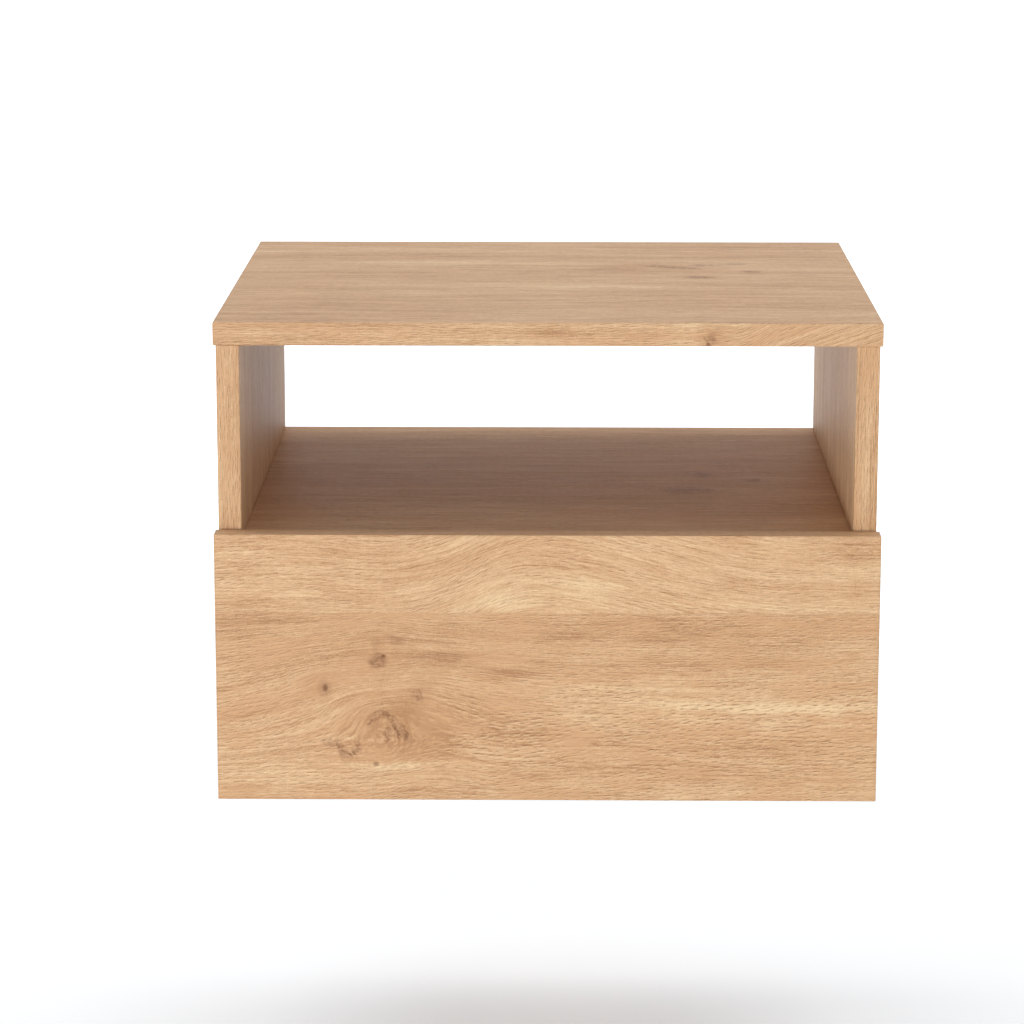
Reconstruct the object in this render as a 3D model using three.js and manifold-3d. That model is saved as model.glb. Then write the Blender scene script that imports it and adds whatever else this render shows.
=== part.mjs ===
// A floating nightstand: a board carcass that hangs on a wall, with an open bay above and
// one drawer below that runs on ball-bearing slides. Millimetres, +Z up. The wall is the
// plane y = 0, the user stands in front, towards -Y, and left and right are the user's.
// The origin is the centre of the back panel's rear face, which lies against the wall.

import * as THREE from 'three';
import { RoundedBoxGeometry } from 'three/addons/geometries/RoundedBoxGeometry.js';
import { mergeVertices } from 'three/addons/utils/BufferGeometryUtils.js';
import Module from 'manifold-3d';

const wasm = await Module();
wasm.setup();

// Carcass
const topWidth = 460;
const carcassDepth = 400;
const totalHeight = 335;
const boardThickness = 16;
const openBayHeight = 134; // clear height between the top and the shelf
const sideInset = 2; // how far each side stands in under the end of the top
const edgeRound = 0.5; // radius on every edge of every board
const wallHoleRadius = 3.5; // for the two screws that go through the back panel into the wall
const wallHoleMargin = 52; // from the end of the back panel to the hole
const wallHoleDrop = 45; // from the back panel's upper edge down to the hole

// Drawer
const frontLip = 5; // how far the drawer front rises over the shelf, to be pulled by
const frontGap = 2; // between the carcass's front edges and the drawer front
const drawerBoard = 12;
const drawerFloorThickness = 3;
const drawerGapBelow = 14; // between the bottom panel and the drawer box
const drawerGapAbove = 19; // between the drawer box and the shelf
const grooveDepth = 6; // of the groove that holds the drawer's floor
const grooveRise = 10; // from the lower edge of the drawer's sides up to the groove
const groovePlay = 0.3;

// Slides
const slideThickness = 13; // from the side panel to the drawer's side
const slideHeight = 45.7;
const slideSheet = 1.2;
const slideSetback = 2; // from the carcass's front edge to the slide's front end
const slideRearGap = 32; // from the slide's rear end to the back panel
const ballDiameter = 3.5;
const ballPitch = 20;
const ballGap = 0.1; // between a ball and each track it rolls on
const cageLength = 120;
const cageSheet = 0.5;
const cageGap = 0.35; // between a cage and the members beside it
const lipGap = 0.2; // between a ball and the lip that keeps it in its track
const lipDepth = 1;

// Fittings
const faceSkin = 5; // board left under a dowel or a bolt that enters its face
const fittingMargin = 50; // from a board's front or rear edge to the fitting nearest to it
const fitGap = 0.2; // between a fitting and its hole, all round
const dowelRadius = 4;
const dowelLength = 32;
const dowelChamfer = 1;
const backDowelMargin = 38; // from the back panel's upper or lower edge to its dowels
const camRadius = 7.5;
const camReach = 24; // from the joint between two boards to the cam's centre
const camSkin = 2.5; // board left under a cam
const camRecessDepth = 1.5;
const camRecessWidth = 1.6;
const camRecessLength = 8;
const boltThreadRadius = 2.5;
const boltTipLength = 1;
const boltCollarRadius = 3.2;
const boltCollarLength = 2;
const boltShaftRadius = 1.8;
const boltHeadRadius = 2.8;
const boltHeadLength = 4;
const boltHeadChamfer = 0.8;
const drawerCamDrop = 30; // from the drawer's upper edge down to its cams
const screwHeadRadius = 3.4;
const screwHeadDepth = 2;
const screwRadius = 1.6;
const screwTipLength = 2.5;
const screwSink = 0.1; // how far a screw's head lies below the face around it
const screwSkin = 1.5; // drawer board left under a slide's screw
const screwEndMargin = 35; // from a slide's end to its screw
const screwRecessDepth = 1.1;
const screwRecessWidth = 0.9;
const screwRecessLength = 4;
const backScrewBite = 28; // how far the drawer back's screws enter its ends
const backScrewDrop = 25; // from the drawer's upper edge down to those screws

// Modelling values
const overrun = 5; // how far a cutter stands out of the piece it cuts
const weldDistance = 0.001;
const edgeSegments = 1;
const boreSides = 14;
const camSides = 24;
const turnedSides = 12;
const ballSides = 6;
const ballRings = 4;

// Places that follow from these sizes, with heights from the carcass's lower edge
const sideFace = topWidth / 2 - sideInset;
const bayHalf = sideFace - boardThickness;
const topUnderside = totalHeight - boardThickness;
const shelfTop = topUnderside - openBayHeight;
const shelfUnderside = shelfTop - boardThickness;
const wallCentre = (boardThickness + shelfUnderside) / 2;
const faceDepth = boardThickness - faceSkin;
const drawerFace = bayHalf - slideThickness;
const drawerRoom = drawerFace - drawerBoard;
const drawerLow = boardThickness + drawerGapBelow;
const drawerTop = shelfUnderside - drawerGapAbove;
const drawerFrontBack = -carcassDepth - frontGap;
const floorLevel = drawerLow + grooveRise;
const floorTop = floorLevel + drawerFloorThickness;
const slideLevel = (drawerLow + drawerTop) / 2;
const slideRear = -boardThickness - slideRearGap;
const slideLength = carcassDepth - slideSetback + slideRear;
const drawerRear = drawerFrontBack + slideLength;

const right = new THREE.Vector3(1, 0, 0);
const back = new THREE.Vector3(0, 1, 0);
const up = new THREE.Vector3(0, 0, 1);
const down = new THREE.Vector3(0, 0, -1);
const hands = [
  { side: 'left', sign: -1, inwards: right.clone() },
  { side: 'right', sign: 1, inwards: right.clone().negate() },
];
const ends = [
  { end: 'front', y: -carcassDepth + fittingMargin },
  { end: 'rear', y: -fittingMargin },
];

const finishes = {
  oak: { color: 0xc99a68, roughness: 0.55, metalness: 0 },
  drawerBoard: { color: 0xe6e3dc, roughness: 0.6, metalness: 0 },
  drawerFloor: { color: 0xe9e7e1, roughness: 0.7, metalness: 0 },
  zincedSteel: { color: 0xb9bcbe, roughness: 0.35, metalness: 1 },
  ballSteel: { color: 0x9a9da0, roughness: 0.3, metalness: 1 },
  castZinc: { color: 0xa7a9aa, roughness: 0.45, metalness: 1 },
  screwSteel: { color: 0xc4b88f, roughness: 0.4, metalness: 1 },
  beech: { color: 0xd9b88a, roughness: 0.8, metalness: 0 },
};

// The point that lies some way from another in a direction.
function along(point, direction, distance) {
  return point.clone().addScaledVector(direction, distance);
}

// A closed geometry as a solid that can be joined and cut.
function solidOf(geometry) {
  const bare = geometry.clone();
  bare.deleteAttribute('normal');
  bare.deleteAttribute('uv');
  const merged = mergeVertices(bare, weldDistance);
  return new wasm.Manifold(new wasm.Mesh({
    numProp: 3,
    vertProperties: merged.attributes.position.array,
    triVerts: new Uint32Array(merged.index.array),
  }));
}

// A solid as a geometry with flat faces.
function geometryOf(solid) {
  const { vertProperties, triVerts } = solid.getMesh();
  const indexed = new THREE.BufferGeometry();
  indexed.setAttribute('position', new THREE.BufferAttribute(vertProperties, 3));
  indexed.setIndex(new THREE.BufferAttribute(triVerts, 1));
  const geometry = indexed.toNonIndexed();
  geometry.computeVertexNormals();
  return geometry;
}

function cut(geometry, cutters) {
  const cutting = (solid, cutter) => solid.subtract(solidOf(cutter));
  return geometryOf(cutters.reduce(cutting, solidOf(geometry)));
}

function join(geometries) {
  const joining = (whole, solid) => whole.add(solid);
  return geometryOf(geometries.map(solidOf).reduce(joining));
}

// A round body from a profile of [radius, height] points, turned about its own Y axis.
function turned(profile, sides = turnedSides) {
  return new THREE.LatheGeometry(profile.map(([radius, y]) => new THREE.Vector2(radius, y)), sides);
}

// Turns a geometry that is built along +Y to lie in a direction, with its origin at a point.
function laid(geometry, point, direction) {
  const turn = new THREE.Quaternion().setFromUnitVectors(back, direction);
  return geometry.applyQuaternion(turn).translate(point.x, point.y, point.z);
}

// A round cutter for a hole that starts at its mouth and runs inwards to its depth.
function drill(mouth, inwards, depth, radius, sides = boreSides) {
  const length = depth + overrun;
  const cylinder = new THREE.CylinderGeometry(radius, radius, length, sides);
  return laid(cylinder, along(mouth, inwards, depth - length / 2), inwards);
}

// A block between two corners, given as its low and high ends along X, Y and Z.
function block([x0, x1], [y0, y1], [z0, z1]) {
  const box = new THREE.BoxGeometry(x1 - x0, y1 - y0, z1 - z0);
  return box.translate((x0 + x1) / 2, (y0 + y1) / 2, (z0 + z1) / 2);
}

// A named piece. Its geometry is in its own frame and its cutters are in the nightstand's.
function piece(name, finish, geometry, place, cutters = []) {
  const local = cutters.map((cutter) => cutter.clone().translate(-place.x, -place.y, -place.z));
  const shape = local.length > 0 ? cut(geometry, local) : geometry;
  const mesh = new THREE.Mesh(shape, new THREE.MeshStandardMaterial(finishes[finish]));
  mesh.name = name;
  mesh.position.copy(place);
  return mesh;
}

// A board between two corners, with every edge rounded and its holes and grooves cut.
function board(name, finish, [x0, x1], [y0, y1], [z0, z1], cutters = []) {
  const shape = new RoundedBoxGeometry(x1 - x0, y1 - y0, z1 - z0, edgeSegments, edgeRound);
  const centre = new THREE.Vector3((x0 + x1) / 2, (y0 + y1) / 2, (z0 + z1) / 2);
  return piece(name, finish, shape, centre, cutters);
}

// Cam fittings join two boards. The bolt is screwed into the face of one board at the
// joint, runs inwards through the edge of the other, and the cam there grips its head.
const camFittings = {
  shelf: boardEnds('shelf', shelfTop - boardThickness / 2, down),
  bottom: boardEnds('bottom', boardThickness / 2, up),
  drawer: hands.map(({ side, sign, inwards }) => ({
    name: `drawer_front_${side}`,
    side,
    joint: new THREE.Vector3(
      sign * (drawerFace - drawerBoard / 2), drawerFrontBack, drawerTop - drawerCamDrop),
    inwards: back,
    faces: inwards,
    thickness: drawerBoard,
  })),
};

function boardEnds(boardName, level, faces) {
  return hands.flatMap(({ side, sign, inwards }) => ends.map(({ end, y }) => ({
    name: `${boardName}_${side}_${end}`,
    side,
    joint: new THREE.Vector3(sign * bayHalf, y, level),
    inwards,
    faces,
    thickness: boardThickness,
  })));
}

// Where the cam's visible end lies.
function camMouth({ joint, inwards, faces, thickness }) {
  return along(along(joint, inwards, camReach), faces, thickness / 2);
}

function boltHole({ joint, inwards }) {
  return drill(joint, inwards.clone().negate(), faceDepth, boltThreadRadius + fitGap);
}

// The holes in the board that holds the cam: one in its edge and one in its face.
function camHoles(fitting) {
  const { joint, inwards, faces, thickness } = fitting;
  const outwards = faces.clone().negate();
  const radius = camRadius + fitGap;
  return [
    drill(joint, inwards, camReach, boltCollarRadius + fitGap),
    drill(camMouth(fitting), outwards, thickness - camSkin + fitGap, radius, camSides),
  ];
}

// The bolt, along +Y from the tip of its thread to its head.
function camBolt({ name, joint, inwards }) {
  const tip = fitGap - faceDepth;
  const headStart = camReach - boltHeadLength / 2;
  const headEnd = camReach + boltHeadLength / 2;
  const shape = turned([
    [0, tip],
    [boltThreadRadius - boltTipLength, tip],
    [boltThreadRadius, tip + boltTipLength],
    [boltThreadRadius, 0],
    [boltCollarRadius, 0],
    [boltCollarRadius, boltCollarLength],
    [boltShaftRadius, boltCollarLength],
    [boltShaftRadius, headStart],
    [boltHeadRadius, headStart + boltHeadChamfer],
    [boltHeadRadius, headEnd - boltHeadChamfer],
    [boltShaftRadius, headEnd],
    [0, headEnd],
  ]);
  const bolt = piece(`${name}_cam_bolt`, 'zincedSteel', shape, joint);
  bolt.quaternion.setFromUnitVectors(back, inwards);
  return bolt;
}

// The cam, with its visible end at the origin facing +Y and the bolt coming from +X.
function cam(fitting) {
  const { name, inwards, faces, thickness } = fitting;
  const height = thickness - camSkin;
  const body = new THREE.CylinderGeometry(camRadius, camRadius, height, camSides);
  body.translate(0, -height / 2, 0);
  const pocket = boltHeadRadius + fitGap;
  const axis = -thickness / 2;
  const headEnd = boltHeadLength / 2 + fitGap;
  const shape = cut(body, [
    block([-headEnd, camRadius + overrun], [axis - pocket, axis + pocket], [-pocket, pocket]),
    ...crossRecess(camRecessLength, camRecessWidth, camRecessDepth),
  ]);
  const mesh = piece(`${name}_cam`, 'castZinc', shape, camMouth(fitting));
  const bolt = inwards.clone().negate();
  const basis = new THREE.Matrix4().makeBasis(bolt, faces, bolt.clone().cross(faces));
  mesh.quaternion.setFromRotationMatrix(basis);
  return mesh;
}

// Two crossed slots for a screwdriver, sunk into a face at the origin that looks along +Y.
function crossRecess(length, width, depth) {
  return [[length, width], [width, length]].map(([x, z]) => (
    block([-x / 2, x / 2], [-depth, overrun], [-z / 2, z / 2])
  ));
}

// Dowels, glued half in the face of one board and half in the edge of the other.
const dowels = {
  top: hands.flatMap(({ side, sign }) => ends.map(({ end, y }) => ({
    name: `top_dowel_${side}_${end}`,
    side,
    joint: new THREE.Vector3(sign * (sideFace - boardThickness / 2), y, topUnderside),
    inwards: down,
  }))),
  back: hands.flatMap(({ side, sign, inwards }) => [
    { row: 'upper', z: shelfUnderside - backDowelMargin },
    { row: 'lower', z: boardThickness + backDowelMargin },
  ].map(({ row, z }) => ({
    name: `back_dowel_${side}_${row}`,
    side,
    joint: new THREE.Vector3(sign * bayHalf, -boardThickness / 2, z),
    inwards,
  }))),
};

function dowelInFace({ joint, inwards }) {
  return drill(joint, inwards.clone().negate(), faceDepth, dowelRadius + fitGap);
}

function dowelInEdge({ joint, inwards }) {
  return drill(joint, inwards, dowelLength - faceDepth, dowelRadius + fitGap);
}

function dowel({ name, joint, inwards }) {
  const low = fitGap - faceDepth;
  const high = dowelLength - faceDepth - fitGap;
  const shape = turned([
    [0, low],
    [dowelRadius - dowelChamfer, low],
    [dowelRadius, low + dowelChamfer],
    [dowelRadius, high - dowelChamfer],
    [dowelRadius - dowelChamfer, high],
    [0, high],
  ], boreSides);
  const mesh = piece(name, 'beech', shape, joint);
  mesh.quaternion.setFromUnitVectors(back, inwards);
  return mesh;
}

// Countersunk screws. Each one's seat is the middle of its head's flat end.
const slideScrewEnds = [
  { end: 'front', y: slideRear - slideLength + screwEndMargin },
  { end: 'rear', y: slideRear - screwEndMargin },
];
const slideScrewLength = slideSheet + drawerBoard - screwSkin;
const screws = {
  cabinet: slideScrews('cabinet', slideSheet, (inwards) => inwards.clone().negate()),
  drawer: slideScrews('drawer', slideThickness - slideSheet, (inwards) => inwards),
  drawerBack: hands.map(({ side, sign, inwards }) => ({
    name: `drawer_back_screw_${side}`,
    side,
    seat: new THREE.Vector3(
      sign * drawerFace, drawerRear - drawerBoard / 2, drawerTop - backScrewDrop),
    inwards,
    length: drawerBoard + backScrewBite,
  })),
};

function slideScrews(member, reach, driven) {
  return hands.flatMap(({ side, sign, inwards }) => slideScrewEnds.map(({ end, y }) => ({
    name: `${side}_slide_${member}_screw_${end}`,
    side,
    seat: new THREE.Vector3(sign * (bayHalf - reach), y, slideLevel),
    inwards: driven(inwards),
    length: slideScrewLength,
  })));
}

// A screw's outline from its tip up to its head, grown on all sides by a gap for its hole.
function screwOutline(length, gap) {
  const neck = -screwSink - screwHeadDepth;
  return [
    [0, -length - gap],
    [screwRadius + gap, -length + screwTipLength - gap],
    [screwRadius + gap, neck],
    [screwHeadRadius + gap, -screwSink],
  ];
}

function screwHole({ seat, inwards, length }) {
  const outline = screwOutline(length, fitGap);
  const shape = turned([...outline, [screwHeadRadius + fitGap, overrun], [0, overrun]]);
  return laid(shape, seat, inwards.clone().negate());
}

function screw({ name, seat, inwards, length }) {
  const shank = turned([...screwOutline(length, 0), [0, -screwSink]]);
  const recess = crossRecess(screwRecessLength, screwRecessWidth, screwRecessDepth);
  const mesh = piece(name, 'screwSteel', cut(shank, recess), seat);
  mesh.quaternion.setFromUnitVectors(back, inwards.clone().negate());
  return mesh;
}

// The carcass's boards
function topPanel() {
  const x = [-topWidth / 2, topWidth / 2];
  const cutters = dowels.top.map(dowelInFace);
  return board('top_panel', 'oak', x, [-carcassDepth, 0], [topUnderside, totalHeight], cutters);
}

function sidePanel({ side, sign }) {
  const x = [sign * bayHalf, sign * sideFace].sort((a, b) => a - b);
  const onThisSide = (fitting) => fitting.side === side;
  const cutters = [
    ...dowels.top.filter(onThisSide).map(dowelInEdge),
    ...dowels.back.filter(onThisSide).map(dowelInFace),
    ...camFittings.shelf.filter(onThisSide).map(boltHole),
    ...camFittings.bottom.filter(onThisSide).map(boltHole),
    ...screws.cabinet.filter(onThisSide).map(screwHole),
  ];
  return board(`${side}_side_panel`, 'oak', x, [-carcassDepth, 0], [0, topUnderside], cutters);
}

function shelfPanel() {
  const cutters = camFittings.shelf.flatMap(camHoles);
  const z = [shelfUnderside, shelfTop];
  return board('shelf_panel', 'oak', [-bayHalf, bayHalf], [-carcassDepth, 0], z, cutters);
}

function bottomPanel() {
  const cutters = camFittings.bottom.flatMap(camHoles);
  const z = [0, boardThickness];
  return board('bottom_panel', 'oak', [-bayHalf, bayHalf], [-carcassDepth, 0], z, cutters);
}

// The back panel closes the drawer's bay and takes the two screws into the wall.
function backPanel() {
  const wallHoles = hands.map(({ sign }) => {
    const x = sign * (bayHalf - wallHoleMargin);
    const mouth = new THREE.Vector3(x, -boardThickness, shelfUnderside - wallHoleDrop);
    return drill(mouth, back, boardThickness + overrun, wallHoleRadius);
  });
  const cutters = [...dowels.back.map(dowelInEdge), ...wallHoles];
  const z = [boardThickness, shelfUnderside];
  return board('back_panel', 'oak', [-bayHalf, bayHalf], [-boardThickness, 0], z, cutters);
}

// The drawer
const floorHalf = drawerRoom + grooveDepth - groovePlay;
const grooveFront = drawerFrontBack - grooveDepth;

// The groove that the drawer's floor slides into, as one cutter for the front and the sides.
function floorGroove() {
  const half = drawerRoom + grooveDepth;
  const z = [floorLevel, floorTop + groovePlay];
  return block([-half, half], [grooveFront, drawerRear + overrun], z);
}

function drawerFront() {
  const x = [-topWidth / 2, topWidth / 2];
  const y = [drawerFrontBack - boardThickness, drawerFrontBack];
  const cutters = [floorGroove(), ...camFittings.drawer.map(boltHole)];
  return board('drawer_front', 'oak', x, y, [0, shelfTop + frontLip], cutters);
}

function drawerSide({ side, sign }) {
  const x = [sign * drawerRoom, sign * drawerFace].sort((a, b) => a - b);
  const onThisSide = (fitting) => fitting.side === side;
  const cutters = [
    floorGroove(),
    ...camFittings.drawer.filter(onThisSide).flatMap(camHoles),
    ...screws.drawer.filter(onThisSide).map(screwHole),
    ...screws.drawerBack.filter(onThisSide).map(screwHole),
  ];
  const y = [drawerFrontBack, drawerRear];
  return board(`drawer_${side}_side`, 'drawerBoard', x, y, [drawerLow, drawerTop], cutters);
}

function drawerBack() {
  const y = [drawerRear - drawerBoard, drawerRear];
  const cutters = screws.drawerBack.map(screwHole);
  const x = [-drawerRoom, drawerRoom];
  return board('drawer_back', 'drawerBoard', x, y, [floorTop, drawerTop], cutters);
}

function drawerFloor() {
  const y = [grooveFront + groovePlay, drawerRear];
  return board('drawer_floor', 'drawerFloor', [-floorHalf, floorHalf], y, [floorLevel, floorTop]);
}

// Levels in a slide's section, above its centre line: each track and the balls between
const cabinetTrack = slideHeight / 2 - slideSheet;
const outerBallLevel = cabinetTrack - ballGap - ballDiameter / 2;
const middleOuterTrack = outerBallLevel - ballDiameter / 2 - ballGap;
const middleInnerTrack = middleOuterTrack - slideSheet;
const innerBallLevel = middleInnerTrack - ballGap - ballDiameter / 2;
const drawerTrack = innerBallLevel - ballDiameter / 2 - ballGap;

// Distances in a slide's section from the side panel towards the drawer
const outerCageFace = slideSheet + cageGap;
const middleFace = outerCageFace + cageSheet + cageGap;
const innerCageFace = middleFace + slideSheet + cageGap;
const drawerMemberEnd = innerCageFace + cageSheet + cageGap;
const ballSeat = drawerMemberEnd + ballDiameter / 2;
const trackEnd = ballSeat + ballDiameter / 2 + lipGap + slideSheet;

// A channel: a web with a flange above and below, in sheet of one thickness. Its web's
// outer face is at one distance from the side panel and its flanges end at another.
function channelOutline(web, flangeEnd, halfHeight, sheet, lip) {
  const towards = Math.sign(flangeEnd - web);
  const inside = web + towards * sheet;
  const lipStart = flangeEnd - towards * sheet;
  const flange = halfHeight - sheet;
  const upper = [
    [web, halfHeight],
    [flangeEnd, halfHeight],
    [flangeEnd, flange - lip],
    [lipStart, flange - lip],
    [lipStart, flange],
    [inside, flange],
  ];
  const plainUpper = [upper[0], upper[1], [flangeEnd, flange], upper[5]];
  const half = lip > 0 ? upper : plainUpper;
  const lower = half.map(([u, z]) => [u, -z]).reverse();
  return [...half, ...lower];
}

// An outline drawn out along the slide, from its rear end at the origin towards the front.
function drawnOut(outline, sign, length) {
  const points = outline.map(([u, z]) => new THREE.Vector2(-sign * u, z));
  const settings = { depth: length, bevelEnabled: false };
  const shape = new THREE.ExtrudeGeometry(new THREE.Shape(points), settings);
  return shape.rotateX(Math.PI / 2);
}

function slidePlace(sign) {
  return new THREE.Vector3(sign * bayHalf, slideRear, slideLevel);
}

function cabinetMember({ side, sign }) {
  const outline = channelOutline(0, trackEnd, slideHeight / 2, slideSheet, lipDepth);
  const shape = drawnOut(outline, sign, slideLength);
  const cutters = screws.cabinet.filter((held) => held.side === side).map(screwHole);
  return piece(`${side}_slide_cabinet_member`, 'zincedSteel', shape, slidePlace(sign), cutters);
}

function middleMember({ side, sign }) {
  const outline = channelOutline(middleFace, trackEnd, middleOuterTrack, slideSheet, 0);
  const shape = drawnOut(outline, sign, slideLength);
  return piece(`${side}_slide_middle_member`, 'zincedSteel', shape, slidePlace(sign));
}

function drawerMember({ side, sign }) {
  const outline = channelOutline(slideThickness, drawerMemberEnd, drawerTrack, slideSheet, 0);
  const shape = drawnOut(outline, sign, slideLength);
  const cutters = screws.drawer.filter((held) => held.side === side).map(screwHole);
  return piece(`${side}_slide_drawer_member`, 'zincedSteel', shape, slidePlace(sign), cutters);
}

// A ball cage: a thin channel that carries two rows of balls, one over the other.
function ballCage({ side, sign }, row, face, level) {
  const halfHeight = level + cageSheet / 2;
  const outline = channelOutline(face, ballSeat + ballDiameter / 2, halfHeight, cageSheet, 0);
  const strip = drawnOut(outline, sign, cageLength);
  const count = Math.floor(cageLength / ballPitch);
  const balls = [level, -level].flatMap((z) => (
    Array.from({ length: count }, (_, i) => ball(-sign * ballSeat, ballPlace(i, count), z))
  ));
  const place = along(slidePlace(sign), back, (cageLength - slideLength) / 2);
  return piece(`${side}_slide_${row}_ball_cage`, 'ballSteel', join([strip, ...balls]), place);
}

function ballPlace(index, count) {
  return -cageLength / 2 + (index - (count - 1) / 2) * ballPitch;
}

function ball(x, y, z) {
  const shape = new THREE.SphereGeometry(ballDiameter / 2, ballSides, ballRings);
  return shape.rotateX(Math.PI / 2).translate(x, y, z);
}

function group(...meshes) {
  return new THREE.Group().add(...meshes);
}

function carcass() {
  return group(
    topPanel(),
    ...hands.map(sidePanel),
    shelfPanel(),
    bottomPanel(),
    backPanel(),
    ...[...dowels.top, ...dowels.back].map(dowel),
    ...[...camFittings.shelf, ...camFittings.bottom].flatMap((held) => [camBolt(held), cam(held)]),
  );
}

function drawer() {
  return group(
    drawerFront(),
    ...hands.map(drawerSide),
    drawerBack(),
    drawerFloor(),
    ...camFittings.drawer.flatMap((held) => [camBolt(held), cam(held)]),
    ...screws.drawerBack.map(screw),
  );
}

function slide(hand) {
  const onThisSide = (held) => held.side === hand.side;
  return group(
    cabinetMember(hand),
    middleMember(hand),
    drawerMember(hand),
    ballCage(hand, 'outer', outerCageFace, outerBallLevel),
    ballCage(hand, 'inner', innerCageFace, innerBallLevel),
    ...[...screws.cabinet, ...screws.drawer].filter(onThisSide).map(screw),
  );
}

const nightstand = group(carcass(), drawer(), ...hands.map(slide));
nightstand.position.z = -wallCentre;

export default nightstand;
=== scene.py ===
# %% [markdown]
# # A floating nightstand in knotty oak decor
# This is a small wall-hung cabinet: an open bay over one drawer, all in furniture board.
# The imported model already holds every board, slide and fitting at its real size and place.
# So this script is about surfaces: what each one is covered with, and how that is made of nodes.

import bpy
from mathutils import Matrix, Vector


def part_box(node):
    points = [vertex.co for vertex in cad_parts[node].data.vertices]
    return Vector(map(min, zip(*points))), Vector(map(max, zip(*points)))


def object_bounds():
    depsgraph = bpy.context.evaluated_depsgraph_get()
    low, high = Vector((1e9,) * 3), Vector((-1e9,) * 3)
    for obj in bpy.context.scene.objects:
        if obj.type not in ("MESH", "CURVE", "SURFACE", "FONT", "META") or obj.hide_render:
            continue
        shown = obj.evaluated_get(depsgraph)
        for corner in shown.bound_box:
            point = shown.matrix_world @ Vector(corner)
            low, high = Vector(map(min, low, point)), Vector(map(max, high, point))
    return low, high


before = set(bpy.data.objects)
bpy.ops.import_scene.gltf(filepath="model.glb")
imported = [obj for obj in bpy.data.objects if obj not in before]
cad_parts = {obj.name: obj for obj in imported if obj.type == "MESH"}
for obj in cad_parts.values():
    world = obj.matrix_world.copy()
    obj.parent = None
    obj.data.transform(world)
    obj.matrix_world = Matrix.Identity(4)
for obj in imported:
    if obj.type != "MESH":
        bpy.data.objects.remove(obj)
cad_low, cad_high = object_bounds()
MM = 0.001
print("pieces in the model:", len(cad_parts))
print("size in mm:", [round(side / MM, 1) for side in cad_high - cad_low])

# %% [markdown]
# ## The camera
# The photograph is taken from straight in front and a little above the top, through a long lens,
# so that the top shows as a thin band and the shelf can be seen under it. The places of the
# camera are given from the carcass: how far in front of its front edges, how far over its top.
# The lens points down at the middle of the piece instead of being shifted, which keeps the
# object in the middle of the picture from every other side too.

# %% Stand the camera in front of the piece
CAMERA_DISTANCE = 2.383
CAMERA_OVER_TOP = 0.390
CAMERA_ASIDE = 0.0073
CAMERA_LENS = 123.85
CAMERA_DOWN = 0.2158
CAMERA_TURN = 0.0133
UPRIGHT = 1.5708

top_low, top_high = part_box("top_panel")
camera = bpy.data.objects.new("camera", bpy.data.cameras.new("camera"))
bpy.context.scene.collection.objects.link(camera)
camera.location = (CAMERA_ASIDE, top_low.y - CAMERA_DISTANCE, top_high.z + CAMERA_OVER_TOP)
camera.rotation_euler = (UPRIGHT - CAMERA_DOWN, 0, CAMERA_TURN)
camera.data.lens = CAMERA_LENS
bpy.context.scene.camera = camera
bpy.context.scene.view_settings.view_transform = "Standard"
print("camera stands at", [round(value, 3) for value in camera.location])

# %% [markdown]
# ## Shader maths
# A finish in Blender is a net of nodes. Written out node by node it is hard to read, so two small
# classes stand between. A Wire is the output of a node, and adding or multiplying two of them
# adds the Math node that does it. A Finish adds every other kind of node with one method: its
# settings come first, because they decide which sockets it has, and then what goes into them.
# Three short methods on top of it make what all the finishes end with: a colour from a ramp of
# tones, a relief for the light to catch, and the shader itself.

# %% A wire that can be added and multiplied
class Wire:
    """The output of a node. Arithmetic on it adds Math nodes."""

    def __init__(self, finish, socket):
        self.finish = finish
        self.socket = socket

    def maths(self, operation, *values):
        return self.finish.node("ShaderNodeMath", {"operation": operation}, dict(enumerate(values)))

    def __add__(self, other):
        return self.maths("ADD", self, other)

    def __sub__(self, other):
        return self.maths("SUBTRACT", self, other)

    def __rsub__(self, other):
        return self.maths("SUBTRACT", other, self)

    def __mul__(self, other):
        return self.maths("MULTIPLY", self, other)

    def __truediv__(self, other):
        return self.maths("DIVIDE", self, other)

    def __gt__(self, other):
        return self.maths("GREATER_THAN", self, other)

    def __abs__(self):
        return self.maths("ABSOLUTE", self)

    __radd__ = __add__
    __rmul__ = __mul__

# %% A finish that adds nodes
def socket_named(sockets, name):
    """A socket by its number, its identifier or its name."""
    if isinstance(name, int):
        return sockets[name]
    return next(s for s in sockets if name in (s.identifier, s.name))


def set_stops(ramp, stops):
    """Gives a colour ramp its stops: pairs of a place from 0 to 1 and a colour."""
    while len(ramp.elements) > 1:
        ramp.elements.remove(ramp.elements[-1])
    ramp.elements[0].position = stops[0][0]
    ramp.elements[0].color = stops[0][1]
    for place, tone in stops[1:]:
        ramp.elements.new(place).color = tone


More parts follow.
